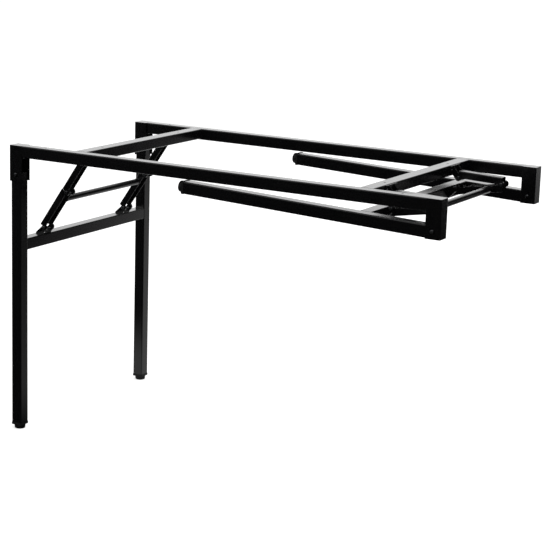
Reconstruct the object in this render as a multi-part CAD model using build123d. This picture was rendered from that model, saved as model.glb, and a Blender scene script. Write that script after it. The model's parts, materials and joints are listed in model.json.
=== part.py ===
"""Folding table base: a tube frame for a table top, with a fold-down leg frame at each end.

Millimetres. X runs along the table, Y across it with the front at minus Y, and Z up from the floor.
The origin is on the floor under the middle of the frame. The left leg frame stands, and the right
one lies folded under the rails.
"""
from build123d import *
import os
from math import atan2, cos, degrees, hypot, radians, sin, sqrt

# Overall size of the frame
frame_length = 1160.0
frame_depth = 575.0
frame_height = 725.0

# Steel tube of the rails, legs and leg crossbars
tube_deep = 29.0
tube_wide = 29.0
tube_wall = 1.5
tube_corner = 2.5
tube_inner_corner = 1.0

# Cross beams between the rails
beam_wide = 34.0
beam_deep = 26.0

# Holes for the screws that hold a table top
screw_radius = 2.75
rail_screw_inset = 100.0
beam_screw_spacing = 340.0

# Corner posts: pressed channels, closed on top and open towards the middle of the table
post_long = 36.5
post_high = 89.0
post_wall = 2.0
post_corner = 2.0
post_top_edge = 0.8
post_open_edge = 1.0

# Leg pivots in the posts
pivot_drop = 72.5
pivot_offset = 1.5
pivot_radius = 4.0
pivot_head_radius = 5.0
pivot_head_high = 2.5
leg_side_gap = 0.5
leg_back_gap = 1.2
leg_swing_gap = 0.5

# Rivets and pins
pin_radius = 3.0
pin_head_radius = 5.0
pin_head_high = 2.0
rivet_head_round = 0.8
running_gap = 0.05
seat_gap = 0.3

# Leg crossbar and its brackets
crossbar_drop = 162.5
leg_pin_rise = 15.5
leg_pin_reach = -0.5
leg_ear_radius = 7.5
leg_bracket_foot = 23.0

# Brackets on the cross beams
beam_pin_reach = 16.5
beam_ear_radius = 7.5
beam_bracket_margin = 1.5
beam_bracket_flange = 12.0
bracket_plate = 2.5
fixing_head_radius = 4.0
fixing_head_high = 1.6

# Two-link braces that lock the legs
fold_angle = 92.2
brace_inset = 114.0
lower_folded_slope = 9.7
beam_pin_back = 5.0
brace_fold_gap = 9.0
upper_wide = 23.0
link_wall = 2.0
link_side_gap = 0.4
link_web_side = 17.0
link_open_side = 0.5
link_bend = 2.5
link_edge_round = 0.4
link_eye_radius = 7.5
knee_eye_radius = 8.0
knee_web_gap = 31.0

# Release rod that joins the two braces of a leg frame
rod_radius = 8.0
rod_wall = 1.5
rod_from_knee = 30.5
rod_lift = 7.5

# Levelling feet and end caps
foot_high = 10.0
pad_high = 9.0
pad_radius = 14.2
pad_base_radius = 13.0
pad_top_edge = 0.6
pad_base_edge = 2.0
neck_radius = 9.0
stud_radius = 4.0
stud_in_pad = 7.0
stud_in_leg = 26.0
cap_collar = 6.0
cap_collar_lip = 0.8
cap_collar_edge = 1.0
cap_plug = 18.0
cap_plug_gap = 0.15

# Places worked out from the sizes above; brace points are (x, z) from the leg pivot, x towards the middle
half_length = frame_length / 2
half_depth = frame_depth / 2
post_wide = tube_wide + 2 * (post_wall + leg_side_gap)
leg_back = tube_deep / 2 + pivot_offset
leg_front = tube_deep - leg_back
pivot_inset = post_wall + leg_back_gap + leg_back
pivot_height = frame_height - pivot_drop
leg_head = sqrt((leg_back + leg_back_gap - leg_swing_gap) ** 2 - leg_back**2)
leg_outer_y = half_depth - post_wall - leg_side_gap
leg_inner_y = leg_outer_y - tube_wide
leg_middle_y = leg_outer_y - tube_wide / 2
leg_bottom = foot_high + seat_gap + cap_collar - pivot_height
leg_middle_x = leg_front - tube_deep / 2
crossbar_back = leg_front - tube_wide
brace_y = half_depth - brace_inset
lower_wide = upper_wide + 2 * (link_side_gap + link_wall)
leg_ear_inner = lower_wide / 2 + link_side_gap
beam_ear_inner = upper_wide / 2 + link_side_gap
pin_hole = pin_radius + running_gap


def turned(point, angle):
    """Turn an (x, z) point about the leg pivot, as a leg folds."""
    turn = radians(angle)
    x, z = point
    return x * cos(turn) - z * sin(turn), x * sin(turn) + z * cos(turn)


def slope(start, end):
    """Angle of the line between two (x, z) points."""
    return degrees(atan2(end[1] - start[1], end[0] - start[0]))


# The beam pin clears the folded leg pin, and both links lie in line when the leg stands
leg_pin = (leg_front + leg_pin_reach, leg_pin_rise - crossbar_drop)
leg_pin_folded = turned(leg_pin, fold_angle)
beam_pin_rise = link_eye_radius + beam_ear_radius + brace_fold_gap
beam_pin = (leg_pin_folded[0] - beam_pin_back, leg_pin_folded[1] + beam_pin_rise)
brace_reach = hypot(beam_pin[0] - leg_pin[0], beam_pin[1] - leg_pin[1])
fold_x = cos(radians(lower_folded_slope))
fold_z = sin(radians(lower_folded_slope))
folded_reach = beam_pin_back * fold_x + beam_pin_rise * fold_z
lower_link = (brace_reach**2 - beam_pin_back**2 - beam_pin_rise**2) / (2 * (brace_reach - folded_reach))
upper_link = brace_reach - lower_link
knee_folded = (leg_pin_folded[0] - lower_link * fold_x, leg_pin_folded[1] + lower_link * fold_z)
knee_standing = (
    leg_pin[0] + lower_link * (beam_pin[0] - leg_pin[0]) / brace_reach,
    leg_pin[1] + lower_link * (beam_pin[1] - leg_pin[1]) / brace_reach,
)
beam_face = beam_pin[0] + beam_pin_reach
beam_inset = pivot_inset + beam_face
beam_bottom = pivot_drop - beam_deep


def block(x_span, y_span, z_span):
    """Box between pairs of coordinates."""
    spans = (x_span, y_span, z_span)
    middle = [(low + high) / 2 for low, high in spans]
    return Pos(*middle) * Box(*[high - low for low, high in spans])


def bar_across(x, z, y_span, radius):
    """Round bar along Y."""
    return Pos(x, sum(y_span) / 2, z) * Rot(90, 0, 0) * Cylinder(radius, y_span[1] - y_span[0])


def slab(profile, y_span):
    """Profile drawn in X and Z, given a thickness along Y."""
    return Pos(0, y_span[1], 0) * extrude(Plane.XZ * profile, y_span[1] - y_span[0])


def tube(across, high, length):
    """Rounded rectangular tube along Z, standing on the origin."""
    outer = RectangleRounded(across, high, tube_corner)
    inner = RectangleRounded(across - 2 * tube_wall, high - 2 * tube_wall, tube_inner_corner)
    return extrude(outer - inner, length)


def head(radius, high):
    """Rivet head along Z, rounded over most of its height, sitting on the origin."""
    body = Pos(0, 0, high / 2) * Cylinder(radius, high)
    return fillet(body.edges().sort_by(Axis.Z)[-1:], rivet_head_round * high)


def rivet_across(x, z, y_span, radius, head_radius, head_high):
    """Rivet along Y with a head beyond each end of its grip."""
    shank = bar_across(x, z, y_span, radius)
    front_head = Pos(x, y_span[0], z) * Rot(90, 0, 0) * head(head_radius, head_high)
    rear_head = Pos(x, y_span[1], z) * Rot(-90, 0, 0) * head(head_radius, head_high)
    return shank + front_head + rear_head


def ear_profile(pin, radius, foot_start, foot_end):
    """Ear with a round eye about its pin and a straight foot."""
    eye = Pos(*pin) * Circle(radius)
    foot = Edge.make_line((*foot_start, 0), (*foot_end, 0))
    return make_hull(eye.edges() + [foot]) - Pos(*pin) * Circle(pin_hole)


def rail(side):
    """Long rail, flush with the outer faces of its posts; side is -1 in front and 1 behind."""
    length = frame_length - 2 * post_long
    body = Pos(-length / 2, 0, 0) * Rot(0, 90, 0) * tube(tube_deep, tube_wide, length)
    for end in (-1, 1):
        hole = Pos(end * (half_length - rail_screw_inset), 0, 0) * Cylinder(screw_radius, 2 * tube_deep)
        body -= hole
    return Pos(0, side * (half_depth - tube_wide / 2), frame_height - tube_deep / 2) * body


def cross_beam():
    """Beam between the rails at the left end."""
    length = frame_depth - 2 * tube_wide
    body = Pos(0, length / 2, 0) * Rot(90, 0, 0) * tube(beam_wide, beam_deep, length)
    for side in (-1, 1):
        hole = Pos(0, side * beam_screw_spacing / 2, 0) * Cylinder(screw_radius, 2 * beam_deep)
        body -= hole
    return Pos(beam_inset - half_length + beam_wide / 2, 0, frame_height - beam_deep / 2) * body


def post(side):
    """Corner post at the left end: a channel with a closed top, its open side towards the middle."""
    outer = block((0, post_long), (-post_wide / 2, post_wide / 2), (-post_high, 0))
    outer = fillet(outer.edges().filter_by(Axis.Z).group_by(Axis.X)[0], post_corner)
    outer = fillet(outer.edges().filter_by(Axis.Z).group_by(Axis.X)[-1], post_open_edge)
    outer = fillet(outer.faces().sort_by(Axis.Z)[-1].edges(), post_top_edge)
    clear = post_wide / 2 - post_wall
    inside = block((post_wall, 2 * post_long), (-clear, clear), (-2 * post_high, -post_wall))
    hole = bar_across(pivot_inset, -pivot_drop, (-post_wide, post_wide), pivot_radius + running_gap)
    return Pos(-half_length, side * (half_depth - post_wide / 2), frame_height) * (outer - inside - hole)


def at_pivot(piece, angle=0.0):
    """Place a piece drawn about the left leg pivot, folded by an angle."""
    return Pos(pivot_inset - half_length, 0, pivot_height) * Rot(0, -angle, 0) * piece


def pivot_rivet(side):
    """Rivet that carries a leg in its post."""
    spans = sorted((side * half_depth, side * (half_depth - post_wide)))
    return rivet_across(0, 0, spans, pivot_radius, pivot_head_radius, pivot_head_high)


def beam_bracket(side):
    """Bracket with two ears on the outer face of the cross beam."""
    middle = side * brace_y
    low = beam_bottom + beam_bracket_margin
    high = pivot_drop - beam_bracket_margin
    foot_x = beam_face - bracket_plate
    half_wide = beam_ear_inner + bracket_plate + beam_bracket_flange
    body = block((foot_x, beam_face), (middle - half_wide, middle + half_wide), (low, high))
    profile = ear_profile(beam_pin, beam_ear_radius, (foot_x, low), (foot_x, high))
    for inner in (beam_ear_inner, -beam_ear_inner - bracket_plate):
        body += slab(profile, (middle + inner, middle + inner + bracket_plate))
    return body


def beam_pin_rivet(side):
    """Rivet through the ears of a beam bracket and the top end of an upper link."""
    reach = beam_ear_inner + bracket_plate
    spans = (side * brace_y - reach, side * brace_y + reach)
    return rivet_across(*beam_pin, spans, pin_radius, pin_head_radius, pin_head_high)


def beam_fixings(side):
    """Rivet heads that hold a beam bracket to its beam, one on each flange."""
    shift = beam_ear_inner + bracket_plate + beam_bracket_flange / 2
    z = (beam_bottom + pivot_drop) / 2
    turn = Pos(beam_face - bracket_plate, 0, z) * Rot(0, -90, 0)
    return [
        Pos(0, side * brace_y + way * shift, 0) * turn * head(fixing_head_radius, fixing_head_high)
        for way in (-1, 1)
    ]


def leg(side):
    """Leg tube, drawn standing about its pivot."""
    middle = side * leg_middle_y
    body = Pos(leg_middle_x, middle, leg_bottom) * tube(tube_deep, tube_wide, leg_head - leg_bottom)
    return body - bar_across(0, 0, (middle - tube_wide, middle + tube_wide), pivot_radius + running_gap)


def crossbar():
    """Bar between the two legs, flush with their inner faces."""
    body = Pos(0, leg_inner_y, 0) * Rot(90, 0, 0) * tube(tube_wide, tube_deep, 2 * leg_inner_y)
    return Pos(crossbar_back + tube_wide / 2, 0, -crossbar_drop - tube_deep / 2) * body


def leg_bracket(side):
    """Bracket with two ears on top of the leg crossbar."""
    middle = side * brace_y
    foot_middle = crossbar_back + tube_wide / 2
    foot = (foot_middle - leg_bracket_foot / 2, foot_middle + leg_bracket_foot / 2)
    plate_top = bracket_plate - crossbar_drop
    half_wide = leg_ear_inner + bracket_plate
    body = block(foot, (middle - half_wide, middle + half_wide), (-crossbar_drop, plate_top))
    profile = ear_profile(leg_pin, leg_ear_radius, (foot[0], plate_top), (foot[1], plate_top))
    for inner in (leg_ear_inner, -half_wide):
        body += slab(profile, (middle + inner, middle + inner + bracket_plate))
    return body


def leg_pin_rivet(side):
    """Rivet through the ears of a leg bracket and the foot of a lower link."""
    reach = leg_ear_inner + bracket_plate
    spans = (side * brace_y - reach, side * brace_y + reach)
    return rivet_across(*leg_pin, spans, pin_radius, pin_head_radius, pin_head_high)


def leg_fixing(side):
    """Rivet head that holds a leg bracket to the crossbar."""
    x = crossbar_back + tube_wide / 2
    return Pos(x, side * brace_y, bracket_plate - crossbar_drop) * head(fixing_head_radius, fixing_head_high)


def channel(side_profile, wide, span):
    """Folded channel along X with its web on the plus Z side, trimmed to a side profile."""
    deep = link_web_side + 2 * knee_eye_radius
    outer = Pos(0, link_web_side - deep / 2) * Rectangle(wide, deep)
    outer = fillet(outer.vertices().group_by(Axis.Y)[-1], link_bend)
    inner = Pos(0, link_web_side - link_wall - deep / 2) * Rectangle(wide - 2 * link_wall, deep)
    section = Plane(origin=(span[0], 0, 0), x_dir=(0, 1, 0), z_dir=(1, 0, 0)) * (outer - inner)
    return extrude(section, span[1] - span[0]) & slab(side_profile, (-wide, wide))


def link_body(length, wide, start_eye, end_eye):
    """Channel along X between two pins, square on its web side and with a round eye about each pin."""
    deep = link_web_side + link_open_side
    side = Pos(length / 2, link_web_side - deep / 2) * Rectangle(length, deep)
    profile = side + Circle(start_eye) + Pos(length, 0) * Circle(end_eye)
    body = channel(profile, wide, (-start_eye, length + end_eye))
    body = fillet(body.edges().filter_by(Axis.X).group_by(Axis.Z)[0], link_edge_round * link_wall)
    for x in (0, length):
        body -= bar_across(x, 0, (-wide, wide), pin_hole)
    return body


def upper_link_body():
    """Upper link along X from the knee at the origin to the beam pin."""
    return link_body(upper_link, upper_wide, link_eye_radius, link_eye_radius)


def lower_link_body():
    """Lower link along X from leg pin to knee, its web cut back where the upper link swings through."""
    clear = lower_wide / 2 - link_wall
    gap = block((lower_link - knee_web_gap, 2 * lower_link), (-clear, clear), (0, 2 * link_web_side))
    return link_body(lower_link, lower_wide, link_eye_radius, knee_eye_radius) - gap


def along(piece, side, start, end):
    """Lay a piece drawn along X on the line between two brace points."""
    return Pos(start[0], side * brace_y, start[1]) * Rot(0, -slope(start, end), 0) * piece


def knee_shank():
    """Part of the knee rivet that turns with the upper link."""
    return bar_across(0, 0, (-upper_wide / 2, upper_wide / 2), pin_radius)


def knee_heads():
    """Parts of the knee rivet that stay in the lower link, one through each side."""
    stub = Pos(0, 0, (lower_wide - link_wall) / 2) * Cylinder(pin_radius, link_wall)
    one = stub + Pos(0, 0, lower_wide / 2) * head(pin_head_radius, pin_head_high)
    return [Pos(lower_link, 0, 0) * Rot(turn, 0, 0) * one for turn in (90, -90)]


def release_rod(start, end):
    """Tube that joins the lower links of one leg frame."""
    reach = brace_y - lower_wide / 2
    spans = (-reach, reach)
    body = bar_across(lower_link - rod_from_knee, rod_lift, spans, rod_radius)
    body -= bar_across(lower_link - rod_from_knee, rod_lift, spans, rod_radius - rod_wall)
    return along(body, 0, start, end)


def end_cap(side):
    """Moulded cap in the end of a leg, bored for the stud of a foot."""
    half_deep = tube_deep / 2 + cap_collar_lip
    half_wide = tube_wide / 2 + cap_collar_lip
    collar = block((-half_deep, half_deep), (-half_wide, half_wide), (-cap_collar, 0))
    collar = fillet(collar.edges().filter_by(Axis.Z), tube_corner)
    collar = fillet(collar.faces().sort_by(Axis.Z)[0].edges(), cap_collar_edge)
    trim = 2 * (tube_wall + cap_plug_gap)
    plug = extrude(RectangleRounded(tube_deep - trim, tube_wide - trim, tube_inner_corner), cap_plug)
    bore = Cylinder(stud_radius + running_gap, 2 * (cap_plug + cap_collar))
    return Pos(leg_middle_x, side * leg_middle_y, leg_bottom) * (collar + plug - bore)


def at_foot(piece, side):
    """Place a piece drawn standing on the floor under a leg."""
    return Pos(leg_middle_x, side * leg_middle_y, -pivot_height) * piece


def foot_pad():
    """Moulded pad of a levelling foot, with a neck under the end cap and a hole for the stud."""
    pad = Pos(0, 0, pad_high / 2) * Cone(pad_base_radius, pad_radius, pad_high)
    rims = pad.edges().filter_by(GeomType.CIRCLE).sort_by(Axis.Z)
    pad = fillet(rims[:1], pad_base_edge)
    rims = pad.edges().filter_by(GeomType.CIRCLE).sort_by(Axis.Z)
    pad = fillet(rims[-1:], pad_top_edge)
    neck_start = pad_high / 2
    neck = Pos(0, 0, (neck_start + foot_high) / 2) * Cylinder(neck_radius, foot_high - neck_start)
    hole_floor = foot_high - stud_in_pad
    hole = Pos(0, 0, hole_floor + foot_high / 2) * Cylinder(stud_radius + running_gap, foot_high)
    return pad + neck - hole


def foot_stud():
    """Stud of a levelling foot, seated in its pad."""
    length = stud_in_pad + stud_in_leg
    return Pos(0, 0, foot_high - stud_in_pad + length / 2) * Cylinder(stud_radius, length)


def end_pieces(name, angle):
    """All pieces of one end, drawn at the left end with the leg frame folded by an angle."""
    sides = {"front": -1, "rear": 1}
    folded = angle > 0
    knee = knee_folded if folded else knee_standing
    pin = leg_pin_folded if folded else leg_pin
    pieces = {
        "cross_beam": [cross_beam()],
        "leg_pivot_rivets": [at_pivot(pivot_rivet(side)) for side in sides.values()],
        "beam_bracket_pins": [at_pivot(beam_pin_rivet(side)) for side in sides.values()],
        "beam_bracket_rivets": [at_pivot(one) for side in sides.values() for one in beam_fixings(side)],
        "leg_crossbar": [at_pivot(crossbar(), angle)],
        "leg_bracket_pins": [at_pivot(leg_pin_rivet(side), angle) for side in sides.values()],
        "leg_bracket_rivets": [at_pivot(leg_fixing(side), angle) for side in sides.values()],
        "knee_shanks": [at_pivot(along(knee_shank(), side, knee, beam_pin)) for side in sides.values()],
        "knee_heads": [
            at_pivot(along(one, side, pin, knee)) for side in sides.values() for one in knee_heads()
        ],
        "release_rod": [at_pivot(release_rod(pin, knee))],
    }
    for place, side in sides.items():
        pieces[f"{place}_post"] = [post(side)]
        pieces[f"{place}_beam_bracket"] = [at_pivot(beam_bracket(side))]
        pieces[f"{place}_leg"] = [at_pivot(leg(side), angle)]
        pieces[f"{place}_leg_bracket"] = [at_pivot(leg_bracket(side), angle)]
        pieces[f"{place}_end_cap"] = [at_pivot(end_cap(side), angle)]
        pieces[f"{place}_foot_pad"] = [at_pivot(at_foot(foot_pad(), side), angle)]
        pieces[f"{place}_foot_stud"] = [at_pivot(at_foot(foot_stud(), side), angle)]
        pieces[f"{place}_upper_link"] = [at_pivot(along(upper_link_body(), side, knee, beam_pin))]
        pieces[f"{place}_lower_link"] = [at_pivot(along(lower_link_body(), side, pin, knee))]
    return {f"{name}_{piece}": solids for piece, solids in pieces.items()}


nodes = {"front_rail": [rail(-1)], "rear_rail": [rail(1)]}
nodes.update(end_pieces("left", 0.0))
for node, solids in end_pieces("right", fold_angle).items():
    nodes[node] = [mirror(solid, about=Plane.YZ) for solid in solids]

os.makedirs("parts", exist_ok=True)
for node, solids in nodes.items():
    shape = solids[0] if len(solids) == 1 else Compound(children=solids)
    export_step(shape, f"parts/{node}.step")
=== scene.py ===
"""Looks of a folding table base: black powder coat, weld beads, threaded studs and a white studio.

The frame brings every solid at its real place, in metres, with X along the table, the front at
minus Y and Z up. This script dresses those solids and adds what a maker sees only on the finished
piece: the welds at each tube joint and the thread of each levelling foot.
"""
from __future__ import annotations

import json
import logging
import math
from collections.abc import Callable, Iterable
from dataclasses import dataclass
from enum import Enum
from typing import Any

import bpy
from mathutils import Matrix, Vector

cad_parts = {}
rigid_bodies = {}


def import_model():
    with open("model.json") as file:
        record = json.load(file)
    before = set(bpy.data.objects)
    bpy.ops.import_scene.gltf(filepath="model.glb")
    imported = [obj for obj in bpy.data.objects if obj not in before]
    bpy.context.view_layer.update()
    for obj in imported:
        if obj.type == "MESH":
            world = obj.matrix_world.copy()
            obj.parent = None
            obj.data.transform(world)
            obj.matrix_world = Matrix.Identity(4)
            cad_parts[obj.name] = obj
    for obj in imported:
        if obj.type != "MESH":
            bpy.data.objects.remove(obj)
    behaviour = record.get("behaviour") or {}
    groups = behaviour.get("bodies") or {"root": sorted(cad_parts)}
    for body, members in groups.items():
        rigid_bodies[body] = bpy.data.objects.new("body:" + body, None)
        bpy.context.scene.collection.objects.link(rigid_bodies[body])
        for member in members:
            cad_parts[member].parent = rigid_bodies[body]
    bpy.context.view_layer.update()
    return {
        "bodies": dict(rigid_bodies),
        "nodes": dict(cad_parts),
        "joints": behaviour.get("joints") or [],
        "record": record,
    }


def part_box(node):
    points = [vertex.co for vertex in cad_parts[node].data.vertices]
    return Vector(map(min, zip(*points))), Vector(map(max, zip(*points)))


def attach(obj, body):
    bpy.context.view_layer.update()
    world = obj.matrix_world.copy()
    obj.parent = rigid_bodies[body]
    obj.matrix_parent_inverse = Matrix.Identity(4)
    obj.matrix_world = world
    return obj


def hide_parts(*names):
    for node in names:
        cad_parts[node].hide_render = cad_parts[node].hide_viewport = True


LOG = logging.getLogger("folding_table")
MM = 0.001
DROP_STEP = 2.1 * MM
WHITE = "#ffffff"


class End(Enum):
    """The two ends of the table."""

    LEFT = "left"
    RIGHT = "right"


class Side(Enum):
    """The two long sides of the table, with the sign of their Y."""

    FRONT = -1
    REAR = 1

    @property
    def label(self) -> str:
        """Name used in node names."""
        return self.name.lower()


def linear(hex_colour: str) -> tuple[float, float, float, float]:
    """Turn an sRGB hex colour into linear RGBA.

    Args:
        hex_colour: Six hex digits, with or without a leading hash.

    Returns:
        Linear red, green and blue, with an alpha of 1.
    """
    digits = hex_colour.lstrip("#")
    parts = [int(digits[i : i + 2], 16) / 255 for i in (0, 2, 4)]
    red, green, blue = [c / 12.92 if c <= 0.04045 else ((c + 0.055) / 1.055) ** 2.4 for c in parts]
    return red, green, blue, 1.0


def add_node(
    tree: bpy.types.NodeTree, kind: str, inputs: dict[str | int, Any] | None = None, **settings: Any
) -> bpy.types.Node:
    """Add a node with its settings, and set or link its inputs.

    Args:
        tree: Node tree that gets the node.
        kind: Type name of the node.
        inputs: Value, or output socket to link, for each input by name or index.
        **settings: Attributes of the node itself.

    Returns:
        The new node.
    """
    node = tree.nodes.new(kind)
    for name, value in settings.items():
        setattr(node, name, value)
    for key, value in (inputs or {}).items():
        if isinstance(value, bpy.types.NodeSocket):
            tree.links.new(value, node.inputs[key])
        else:
            node.inputs[key].default_value = value
    return node


def new_tree(name: str) -> tuple[bpy.types.Material, bpy.types.NodeTree]:
    """Make an empty node material.

    Args:
        name: Name of the material.

    Returns:
        The material and its empty node tree.
    """
    material = bpy.data.materials.new(name)
    material.use_nodes = True
    material.node_tree.nodes.clear()
    return material, material.node_tree


@dataclass(frozen=True)
class Finish:
    """A surface with a grain: colour and roughness wander slowly, and a fine bump lies on top."""

    name: str
    dark: str
    light: str
    roughness: tuple[float, float]
    metallic: float
    specular: float
    patch_mm: float
    grain_mm: float
    grain_height_mm: float
    patch_detail: float = 3.0
    patch_roughness: float = 0.55
    grain_detail: float = 2.0
    grain_roughness: float = 0.5

    def build(self) -> bpy.types.Material:
        """Make the material of this finish.

        Returns:
            The material.
        """
        material, tree = new_tree(self.name)
        place = add_node(tree, "ShaderNodeTexCoord").outputs["Object"]
        patches = add_node(
            tree,
            "ShaderNodeTexNoise",
            {
                "Vector": place,
                "Scale": 1 / (self.patch_mm * MM),
                "Detail": self.patch_detail,
                "Roughness": self.patch_roughness,
            },
        ).outputs["Fac"]
        grain = add_node(
            tree,
            "ShaderNodeTexNoise",
            {
                "Vector": place,
                "Scale": 1 / (self.grain_mm * MM),
                "Detail": self.grain_detail,
                "Roughness": self.grain_roughness,
            },
        ).outputs["Fac"]
        colour = add_node(
            tree,
            "ShaderNodeMix",
            {"Factor": patches, "A": linear(self.dark), "B": linear(self.light)},
            data_type="RGBA",
        )
        colour_out = next(socket for socket in colour.outputs if socket.type == "RGBA")
        sheen = add_node(
            tree,
            "ShaderNodeMapRange",
            {"Value": patches, "To Min": self.roughness[0], "To Max": self.roughness[1]},
        ).outputs["Result"]
        bump = add_node(
            tree,
            "ShaderNodeBump",
            {"Height": grain, "Strength": 1.0, "Distance": self.grain_height_mm * MM},
        ).outputs["Normal"]
        shader = add_node(
            tree,
            "ShaderNodeBsdfPrincipled",
            {
                "Base Color": colour_out,
                "Roughness": sheen,
                "Normal": bump,
                "Metallic": self.metallic,
                "Specular IOR Level": self.specular,
            },
        )
        add_node(tree, "ShaderNodeOutputMaterial", {"Surface": shader.outputs["BSDF"]})
        return material


# Powder coat on steel: sprayed dust melted to a skin. The eye sees a black between satin and gloss, with
# a slight orange peel, drawn here at 3 mm because the real 1 mm dimples are finer than a pixel.
POWDER_COAT = Finish(
    name="black_powder_coated_steel",
    dark="#070708",
    light="#0b0b0c",
    roughness=(0.15, 0.21),
    metallic=0.0,
    specular=0.5,
    patch_mm=60.0,
    grain_mm=3.0,
    grain_height_mm=0.02,
)

# Powder coat on pressings: the same skin, thinner, and a little glossier on small flat faces.
COATED_PRESSING = Finish(
    name="black_coated_pressed_steel",
    dark="#070708",
    light="#0b0b0c",
    roughness=(0.14, 0.2),
    metallic=0.0,
    specular=0.5,
    patch_mm=25.0,
    grain_mm=2.0,
    grain_height_mm=0.015,
)

# Rivet steel, blackened by heat and oil: dark metal that still flashes on its domed heads.
BLACKENED_RIVET = Finish(
    name="blackened_rivet_steel",
    dark="#424345",
    light="#5c5d5f",
    roughness=(0.24, 0.36),
    metallic=1.0,
    specular=0.5,
    patch_mm=6.0,
    grain_mm=1.2,
    grain_height_mm=0.01,
)

# Zinc plate: bright grey metal with a cloudy, slightly dull skin.
ZINC_PLATE = Finish(
    name="zinc_plated_steel",
    dark="#9a9da1",
    light="#c4c6c9",
    roughness=(0.28, 0.42),
    metallic=1.0,
    specular=0.5,
    patch_mm=8.0,
    grain_mm=0.8,
    grain_height_mm=0.005,
)

# Moulded polypropylene: near black, dull, with the fine spark texture of its mould.
MOULDED_PLASTIC = Finish(
    name="black_moulded_polypropylene",
    dark="#0b0b0c",
    light="#121213",
    roughness=(0.5, 0.62),
    metallic=0.0,
    specular=0.25,
    patch_mm=20.0,
    grain_mm=0.9,
    grain_height_mm=0.02,
)


@dataclass
class Paintshop:
    """Gives every solid its finish by the record's slot."""

    frame: dict[str, Any]

    def __post_init__(self) -> None:
        """Make one material for each slot."""
        finishes = {
            "black_powder_coat": POWDER_COAT,
            "black_coated_pressings": COATED_PRESSING,
            "blackened_rivet_steel": BLACKENED_RIVET,
            "zinc_plated_stud": ZINC_PLATE,
            "black_moulded_plastic": MOULDED_PLASTIC,
        }
        self.materials = {slot: finish.build() for slot, finish in finishes.items()}

    def paint(self, piece: bpy.types.Object, slot: str) -> None:
        """Put a slot's material on a piece.

        Args:
            piece: Mesh object to paint.
            slot: Name of the record's material slot.
        """
        piece.data.materials.clear()
        piece.data.materials.append(self.materials[slot])

    def dress(self, piece: bpy.types.Object, slot: str, body: str) -> None:
        """Paint a new piece, and let it move with a body.

        Args:
            piece: Mesh object in its place.
            slot: Name of the record's material slot.
            body: Body that carries the piece.
        """
        self.paint(piece, slot)
        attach(piece, body)
        LOG.info("fitted %s to %s", piece.name, body)

    def joint(self, name: str) -> dict[str, Any]:
        """Find a joint of the record by its name."""
        joints = self.frame["record"]["behaviour"]["joints"]
        return next(joint for joint in joints if joint["name"] == name)

    def paint_solids(self) -> None:
        """Paint every solid of the frame."""
        subparts = self.frame["record"]["subparts"]
        slots = {entry["node"]: entry["material_slot"] for entry in subparts}
        for node, piece in self.frame["nodes"].items():
            self.paint(piece, slots[node])
            LOG.info("painted %s with %s", node, slots[node])


def activate(piece: bpy.types.Object) -> None:
    """Make one object the only selected and active one.

    Args:
        piece: Object to select.
    """
    bpy.ops.object.select_all(action="DESELECT")
    piece.select_set(True)
    bpy.context.view_layer.objects.active = piece


def edit(piece: bpy.types.Object, work: Callable[[], None]) -> None:
    """Run operators on the whole of a mesh in edit mode.

    Args:
        piece: Mesh object to edit.
        work: Function that calls the operators.
    """
    activate(piece)
    bpy.ops.object.mode_set(mode="EDIT")
    bpy.ops.mesh.select_all(action="SELECT")
    work()
    bpy.ops.object.mode_set(mode="OBJECT")


def apply_modifier(piece: bpy.types.Object, kind: str, **settings: Any) -> None:
    """Add a modifier and apply it.

    Args:
        piece: Mesh object to change.
        kind: Type of the modifier.
        **settings: Attributes of the modifier.
    """
    activate(piece)
    modifier = piece.modifiers.new(kind.title(), kind)
    for name, value in settings.items():
        setattr(modifier, name, value)
    bpy.ops.object.modifier_apply(modifier=modifier.name)


def join(pieces: Iterable[bpy.types.Object], name: str) -> bpy.types.Object:
    """Join meshes into one object.

    Args:
        pieces: Mesh objects to join.
        name: Name of the joined object.

    Returns:
        The joined object.
    """
    bpy.ops.object.select_all(action="DESELECT")
    for piece in pieces:
        piece.select_set(True)
        bpy.context.view_layer.objects.active = piece
    bpy.ops.object.join()
    whole = bpy.context.view_layer.objects.active
    whole.name = name
    whole.data.name = name
    return whole


def settle(piece: bpy.types.Object, place: Matrix) -> bpy.types.Object:
    """Move a finished piece and put its place into its mesh.

    Args:
        piece: Mesh object at the origin.
        place: Where it goes.

    Returns:
        The same object.
    """
    activate(piece)
    piece.matrix_world = place @ piece.matrix_world
    bpy.ops.object.transform_apply(location=True, rotation=True, scale=True)
    return piece


def straight(start: Vector, stop: Vector, step: float = DROP_STEP) -> list[Vector]:
    """Space points along a straight seam.

    Args:
        start: First end of the seam.
        stop: Other end of the seam.
        step: Distance between points.

    Returns:
        The points.
    """
    count = max(3, round((stop - start).length / step))
    return [start.lerp(stop, (i + 0.5) / count) for i in range(count)]


def ring(centre: Vector, radius: float, step: float = DROP_STEP) -> list[Vector]:
    """Space points around a seam that circles an axis along Y.

    Args:
        centre: Middle of the ring.
        radius: Radius of the ring.
        step: Distance between points.

    Returns:
        The points.
    """
    count = round(2 * math.pi * radius / step)
    turns = [2 * math.pi * i / count for i in range(count)]
    return [centre + radius * Vector((math.cos(turn), 0.0, math.sin(turn))) for turn in turns]


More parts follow.
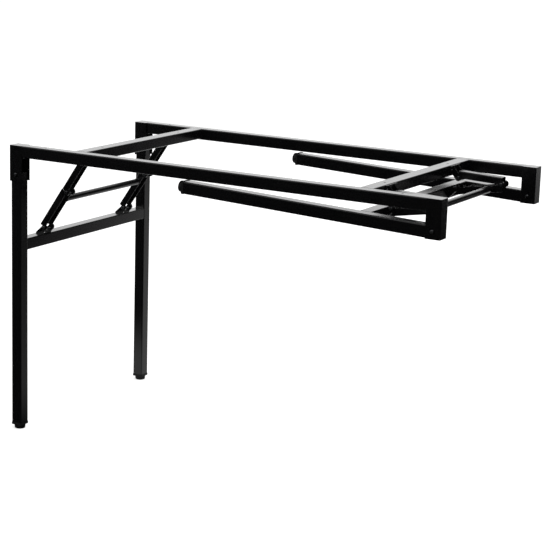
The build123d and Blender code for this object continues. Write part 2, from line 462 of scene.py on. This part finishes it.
@dataclass
class WeldBead:
    """Rippled bead of weld along a seam."""

    seam: list[Vector]
    radius: float = 1.9 * MM
    swell: float = 0.08
    ripple: float = 2.7
    segments: int = 14
    rings: int = 8
    voxel: float = 0.45 * MM
    smoothing: float = 0.5
    smooth_passes: int = 2

    def model(self, name: str) -> bpy.types.Object:
        """Model the bead as a run of overlapping drops, melted together.

        Args:
            name: Name of the piece.

        Returns:
            The bead, in place.
        """
        drops = []
        for i, place in enumerate(self.seam):
            size = self.radius * (1.0 + self.swell * math.sin(self.ripple * i))
            bpy.ops.object.select_all(action="DESELECT")
            bpy.ops.mesh.primitive_uv_sphere_add(
                segments=self.segments, ring_count=self.rings, radius=size, location=place
            )
            drops.append(bpy.context.object)
        bead = join(drops, name)
        settle(bead, Matrix.Identity(4))
        apply_modifier(bead, "REMESH", mode="VOXEL", voxel_size=self.voxel)
        apply_modifier(bead, "SMOOTH", factor=self.smoothing, iterations=self.smooth_passes)
        activate(bead)
        bpy.ops.object.shade_smooth()
        return bead


@dataclass
class TopFrame:
    """Rails, cross beams and posts, and the welds that join them."""

    shop: Paintshop
    body: str = "top_frame"
    bead_out: float = 0.6 * MM
    bead_margin: float = 3.0 * MM

    def weld_beams(self) -> None:
        """Weld each cross beam to the rails, along both of its sides."""
        for end in End:
            low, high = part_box(f"{end.value}_cross_beam")
            for side in Side:
                y = (low.y if side is Side.FRONT else high.y) - side.value * self.bead_out
                for label, x, way in (("west", low.x, -1), ("east", high.x, 1)):
                    start = Vector((x + way * self.bead_out, y, low.z + self.bead_margin))
                    stop = Vector((start.x, y, high.z - self.bead_margin))
                    name = f"weld_{end.value}_{side.label}_beam_{label}"
                    bead = WeldBead(straight(start, stop)).model(name)
                    self.shop.dress(bead, "black_powder_coat", self.body)

    def weld_rails(self) -> None:
        """Weld each rail to its posts, along its lower edge."""
        for side in Side:
            low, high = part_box(f"{side.label}_rail")
            for end in End:
                x = low.x + self.bead_out if end is End.LEFT else high.x - self.bead_out
                z = low.z - self.bead_out
                start = Vector((x, low.y + self.bead_margin, z))
                stop = Vector((x, high.y - self.bead_margin, z))
                bead = WeldBead(straight(start, stop)).model(f"weld_{end.value}_{side.label}_rail")
                self.shop.dress(bead, "black_powder_coat", self.body)

    def build(self) -> None:
        """Model and dress the welds of the frame."""
        self.weld_beams()
        self.weld_rails()


@dataclass
class LegFrame:
    """Two legs and their crossbar, and the welds that join them."""

    shop: Paintshop
    end: End
    bead_out: float = 0.6 * MM
    bead_margin: float = 3.0 * MM

    @property
    def body(self) -> str:
        """Body that the leg frame moves as."""
        return f"{self.end.value}_leg_frame"

    def carry(self, point: Vector) -> Vector:
        """Take a point of the standing left leg frame to the same point of this one.

        Args:
            point: Point on the left leg frame.

        Returns:
            Point on this leg frame, as it is folded.
        """
        if self.end is End.LEFT:
            return point.copy()
        left = self.shop.joint("left_leg_fold")
        right = self.shop.joint("right_leg_fold")
        fold = Matrix.Rotation(math.radians(right["range_deg"][0]), 3, "Y")
        arm = fold @ (point - Vector(left["pos_m"]))
        return Vector(right["pos_m"]) + Vector((-arm.x, arm.y, arm.z))

    def build(self) -> None:
        """Weld the crossbar to both legs, over, under and behind it."""
        low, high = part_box("left_leg_crossbar")
        out, margin = self.bead_out, self.bead_margin
        for side in Side:
            y = (low.y if side is Side.FRONT else high.y) - side.value * out
            seams = {
                "over": ((low.x + margin, high.z + out), (high.x - margin, high.z + out)),
                "under": ((low.x + margin, low.z - out), (high.x - margin, low.z - out)),
                "behind": ((low.x - out, low.z + margin), (low.x - out, high.z - margin)),
            }
            for label, ends in seams.items():
                start, stop = [self.carry(Vector((x, y, z))) for x, z in ends]
                name = f"weld_{self.end.value}_{side.label}_crossbar_{label}"
                bead = WeldBead(straight(start, stop)).model(name)
                self.shop.dress(bead, "black_powder_coat", self.body)


@dataclass
class ReleaseRod:
    """Round tube between the braces of one end, welded to both lower links."""

    shop: Paintshop
    end: End
    bead_out: float = 0.5 * MM
    bead_radius: float = 1.6 * MM

    def build(self) -> None:
        """Weld a ring around each end of the rod."""
        low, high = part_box(f"{self.end.value}_release_rod")
        middle = (low + high) / 2
        radius = (high.x - low.x) / 2
        for side in Side:
            y = (low.y if side is Side.FRONT else high.y) - side.value * self.bead_out
            seam = ring(Vector((middle.x, y, middle.z)), radius)
            name = f"weld_{self.end.value}_{side.label}_rod"
            bead = WeldBead(seam, radius=self.bead_radius).model(name)
            self.shop.dress(bead, "black_powder_coat", f"{self.end.value}_lower_links")


@dataclass
class ThreadedStud:
    """Stud of a levelling foot, with the coarse thread of its size."""

    shop: Paintshop
    end: End
    side: Side
    pitch: float = 1.25 * MM
    depth: float = 0.75 * MM
    crest: float = 0.69 * MM
    merge: float = 0.01 * MM
    plain_turns: int = 2
    steps: int = 24
    core_sides: int = 32
    chamfer_segments: int = 2
    smooth_angle: float = 30.0

    @property
    def node(self) -> str:
        """Plain solid that the thread stands for."""
        return f"{self.end.value}_{self.side.label}_foot_stud"

    def coil(self, radius: float, length: float) -> bpy.types.Object:
        """Wind one ridge of thread around the Z axis.

        Args:
            radius: Radius over the crests.
            length: Length of the stud.

        Returns:
            The ridge.
        """
        bpy.ops.object.select_all(action="DESELECT")
        bpy.ops.mesh.primitive_circle_add(
            vertices=3,
            radius=self.crest,
            location=(radius - self.crest, 0, self.pitch - length / 2),
            rotation=(math.pi / 2, math.pi / 2, 0),
        )
        ridge = bpy.context.object
        settle(ridge, Matrix.Identity(4))
        apply_modifier(
            ridge,
            "SCREW",
            axis="Z",
            screw_offset=self.pitch,
            iterations=int(length / self.pitch) - self.plain_turns,
            steps=self.steps,
            render_steps=self.steps,
            use_merge_vertices=True,
            merge_threshold=self.merge,
        )

        def close() -> None:
            """Close both ends of the ridge and turn its faces outwards."""
            bpy.ops.mesh.fill_holes(sides=4)
            bpy.ops.mesh.normals_make_consistent(inside=False)

        edit(ridge, close)
        return ridge

    def core(self, radius: float, length: float) -> bpy.types.Object:
        """Turn the core of the stud, with a chamfer at each end.

        Args:
            radius: Radius over the crests.
            length: Length of the stud.

        Returns:
            The core.
        """
        bpy.ops.object.select_all(action="DESELECT")
        bpy.ops.mesh.primitive_cylinder_add(
            vertices=self.core_sides, radius=radius - self.depth, depth=length
        )
        shank = bpy.context.object
        apply_modifier(
            shank, "BEVEL", width=self.depth, segments=self.chamfer_segments, limit_method="ANGLE"
        )
        return shank

    def build(self) -> None:
        """Model the stud, stand it in its foot and let it replace the plain solid."""
        plain_low, plain_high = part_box(f"left_{self.side.label}_foot_stud")
        length = plain_high.z - plain_low.z
        radius = (plain_high.y - plain_low.y) / 2
        stud = join([self.coil(radius, length), self.core(radius, length)], f"threaded_{self.node}")
        low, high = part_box(self.node)
        slide = self.shop.joint(f"{self.end.value}_{self.side.label}_foot_slide")
        turn = (-Vector(slide["axis"])).to_track_quat("Z", "Y").to_matrix().to_4x4()
        settle(stud, Matrix.Translation((low + high) / 2) @ turn)
        activate(stud)
        bpy.ops.object.shade_smooth_by_angle(angle=math.radians(self.smooth_angle))
        self.shop.dress(stud, "zinc_plated_stud", f"{self.end.value}_{self.side.label}_foot")
        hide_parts(self.node)


@dataclass(frozen=True)
class ViewPoint:
    """Where the camera stands, as fitted to the corners of the frame."""

    azimuth: float = 29.54
    elevation: float = 12.88
    roll: float = 1.81
    distance: float = 4.29224
    focal_px: float = 1744.89
    image_px: float = 550.0
    target: tuple[float, float, float] = (0.01505, 0.0, 0.42892)
    sensor_mm: float = 36.0

    def place(self) -> Matrix:
        """Work out the camera's place and turn.

        Returns:
            World matrix of the camera.
        """
        turn = math.radians(self.azimuth)
        rise = math.radians(self.elevation)
        back = Vector(
            (math.sin(turn) * math.cos(rise), -math.cos(turn) * math.cos(rise), math.sin(rise))
        )
        right = Vector((0, 0, 1)).cross(back).normalized()
        up = back.cross(right)
        roll = Matrix.Rotation(math.radians(self.roll), 3, "Z")
        basis = Matrix((right, up, back)).transposed() @ roll
        return Matrix.Translation(Vector(self.target) + back * self.distance) @ basis.to_4x4()


@dataclass(frozen=True)
class SoftBox:
    """Lamp with a wide white face."""

    name: str
    place: tuple[float, float, float]
    size: tuple[float, float]
    watts: float

    def hang(self, aim: Vector) -> None:
        """Hang the lamp.

        Args:
            aim: Point that it faces.
        """
        bpy.ops.object.select_all(action="DESELECT")
        bpy.ops.object.light_add(type="AREA", location=self.place)
        lamp = bpy.context.object
        lamp.name = self.name
        lamp.rotation_euler = (aim - Vector(self.place)).to_track_quat("-Z", "Y").to_euler()
        lamp.data.shape = "RECTANGLE"
        lamp.data.size, lamp.data.size_y = self.size
        lamp.data.energy = self.watts


@dataclass
class Studio:
    """White floor, white surroundings, soft lamps and the camera.

    In reflections the floor and the sky fade to dark in front of the object and to its right, each
    over a span of places in metres, or of directions, that starts at the dark value.
    """

    view: ViewPoint = ViewPoint()
    lamps: tuple[SoftBox, ...] = (
        SoftBox("back_soft_box", (-2.4, 4.4, 1.7), (7.0, 2.6), 36.0),
        SoftBox("rod_soft_box", (0.0, 3.0, 2.2), (2.0, 1.2), 6.0),
        SoftBox("top_soft_box", (0.5, 0.0, 3.4), (3.0, 2.0), 40.0),
    )
    lamp_aim: tuple[float, float, float] = (0.0, 0.0, 0.6)
    ambient: float = 0.55
    floor_size: float = 80.0
    floor_colour: str = "#f4f4f4"
    floor_glow: float = 0.55
    front_dark: tuple[float, float] = (-0.35, 0.1)
    right_dark: tuple[float, float] = (0.12, -1.1)
    sky_dark: tuple[float, float] = (0.35, -0.3)
    dark_level: float = 0.015
    sky_level: float = 0.8

    def fade(
        self, tree: bpy.types.NodeTree, value: bpy.types.NodeSocket, span: tuple[float, float]
    ) -> bpy.types.NodeSocket:
        """Fade from the dark side of the studio to its white side.

        Args:
            tree: Node tree that needs the fade.
            value: Place or direction that the fade follows.
            span: Values at which the fade is dark and white.

        Returns:
            Socket with the level.
        """
        levels = {"To Min": self.dark_level, "To Max": 1.0}
        return add_node(
            tree,
            "ShaderNodeMapRange",
            {"Value": value, "From Min": span[0], "From Max": span[1], **levels},
            interpolation_type="SMOOTHSTEP",
        ).outputs["Result"]

    def seen(self, tree: bpy.types.NodeTree, path: bpy.types.bpy_prop_collection) -> bpy.types.NodeSocket:
        """Tell the rays that show the studio itself, straight or through a clear piece.

        Args:
            tree: Node tree that needs the answer.
            path: Outputs of its light path node.

        Returns:
            Socket with 1 for such a ray and 0 for others.
        """
        rays = {0: path["Is Camera Ray"], 1: path["Is Transmission Ray"]}
        return add_node(tree, "ShaderNodeMath", rays, operation="MAXIMUM").outputs[0]

    def surround(self) -> None:
        """White world that lights the object at a plain level and fades to its right in reflections."""
        world = bpy.data.worlds.new("white_studio")
        bpy.context.scene.world = world
        world.use_nodes = True
        tree = world.node_tree
        tree.nodes.clear()
        path = add_node(tree, "ShaderNodeLightPath").outputs
        way = add_node(tree, "ShaderNodeTexCoord").outputs["Generated"]
        across = add_node(tree, "ShaderNodeSeparateXYZ", {0: way}).outputs["X"]
        dimmed = add_node(
            tree,
            "ShaderNodeMath",
            {0: self.fade(tree, across, self.sky_dark), 1: self.sky_level},
            operation="MULTIPLY",
        ).outputs[0]
        mirrored = add_node(
            tree,
            "ShaderNodeMix",
            {"Factor": path["Is Glossy Ray"], "A": self.ambient, "B": dimmed},
        ).outputs["Result"]
        shown = {"Factor": self.seen(tree, path), "A": mirrored, "B": 1.0}
        strength = add_node(tree, "ShaderNodeMix", shown).outputs["Result"]
        sky = add_node(tree, "ShaderNodeBackground", {"Color": linear(WHITE), "Strength": strength})
        add_node(tree, "ShaderNodeOutputWorld", {"Surface": sky.outputs[0]})

    def lay_floor(self) -> None:
        """Wide pale floor that keeps a soft shadow; in reflections its glow is painted light that falls
        off to dark at the front and right.
        """
        bpy.ops.object.select_all(action="DESELECT")
        bpy.ops.mesh.primitive_plane_add(size=self.floor_size)
        floor = bpy.context.object
        floor.name = "studio_floor"
        material, tree = new_tree("white_floor")
        matt = add_node(tree, "ShaderNodeBsdfDiffuse", {"Color": linear(self.floor_colour)})
        glow = add_node(
            tree, "ShaderNodeEmission", {"Color": linear(WHITE), "Strength": self.floor_glow}
        )
        plain = add_node(tree, "ShaderNodeAddShader", {0: matt.outputs[0], 1: glow.outputs[0]})
        place = add_node(tree, "ShaderNodeTexCoord").outputs["Object"]
        turn = math.radians(self.view.azimuth)
        aside = add_node(
            tree,
            "ShaderNodeVectorMath",
            {0: place, 1: (math.cos(turn), -math.sin(turn), 0.0)},
            operation="DOT_PRODUCT",
        ).outputs["Value"]
        depth = add_node(tree, "ShaderNodeSeparateXYZ", {0: place}).outputs["Y"]
        # Painted light: the floor's glow seen in reflections is painted darker towards the front and the
        # right, standing in for light falling off there.
        level = add_node(
            tree,
            "ShaderNodeMath",
            {0: self.fade(tree, depth, self.front_dark), 1: self.fade(tree, aside, self.right_dark)},
            operation="MULTIPLY",
        ).outputs[0]
        mirrored = add_node(tree, "ShaderNodeEmission", {"Color": linear(WHITE), "Strength": level})
        path = add_node(tree, "ShaderNodeLightPath").outputs
        below = add_node(
            tree,
            "ShaderNodeMixShader",
            {0: path["Is Glossy Ray"], 1: matt.outputs[0], 2: mirrored.outputs[0]},
        )
        mix = add_node(
            tree,
            "ShaderNodeMixShader",
            {0: self.seen(tree, path), 1: below.outputs[0], 2: plain.outputs[0]},
        )
        add_node(tree, "ShaderNodeOutputMaterial", {"Surface": mix.outputs[0]})
        floor.data.materials.append(material)

    def set_camera(self) -> None:
        """Set the camera to the fitted view."""
        bpy.ops.object.select_all(action="DESELECT")
        bpy.ops.object.camera_add()
        camera = bpy.context.object
        camera.name = "studio_camera"
        camera.matrix_world = self.view.place()
        camera.data.sensor_width = self.view.sensor_mm
        camera.data.lens = self.view.sensor_mm * self.view.focal_px / self.view.image_px
        camera.data.clip_end = 2 * self.floor_size
        bpy.context.scene.camera = camera

    def build(self) -> None:
        """Set up the studio."""
        bpy.context.scene.view_settings.view_transform = "Standard"
        self.surround()
        self.lay_floor()
        for lamp in self.lamps:
            lamp.hang(Vector(self.lamp_aim))
        self.set_camera()


def main() -> None:
    """Load the frame, dress it and set up the studio."""
    logging.basicConfig(level=logging.INFO, format="%(name)s: %(message)s")
    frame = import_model()
    shop = Paintshop(frame)
    shop.paint_solids()
    TopFrame(shop).build()
    for end in End:
        LegFrame(shop, end).build()
        ReleaseRod(shop, end).build()
        for side in Side:
            ThreadedStud(shop, end, side).build()
    Studio().build()


if __name__ == "__main__":
    main()
